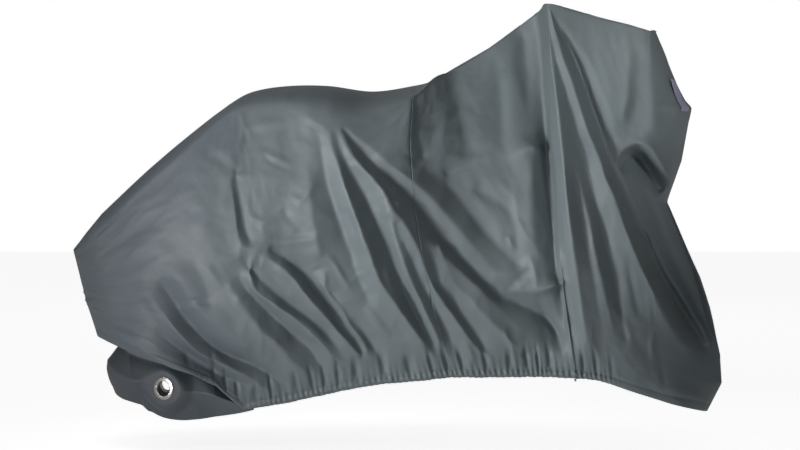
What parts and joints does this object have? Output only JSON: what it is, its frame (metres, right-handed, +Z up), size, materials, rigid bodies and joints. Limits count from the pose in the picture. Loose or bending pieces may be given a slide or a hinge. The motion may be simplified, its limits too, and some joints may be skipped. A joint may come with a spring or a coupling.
{
  "type": "bicycle cover",
  "caption": "Fitted cloth cover draped over a parked bicycle, with folds falling from saddle and handlebar, a gathered elastic hem and lock eyelets in the rear hem.",
  "frame": {"origin": "centre of the cover's width, 20 mm under the roof where the bicycle's saddle holds it up; the ground is 960 mm below", "axes": "+X towards the bicycle's front, +Y to its left side (the far side), +Z up"},
  "size_m": [1.7877, 0.5888, 1.1246],
  "materials": {
    "coated_cloth": "dark grey-green coated polyester, satin",
    "nickel": "nickel-plated brass, polished",
    "woven_patch": "plain grey-violet woven patch"
  },
  "bodies": {
    "root": {"rear_panel": "coated_cloth", "front_panel": "coated_cloth", "eyelet_strip": "coated_cloth", "eyelet_near": "nickel", "eyelet_far": "nickel", "label_patch": "woven_patch"}
  },
  "joints": []
}
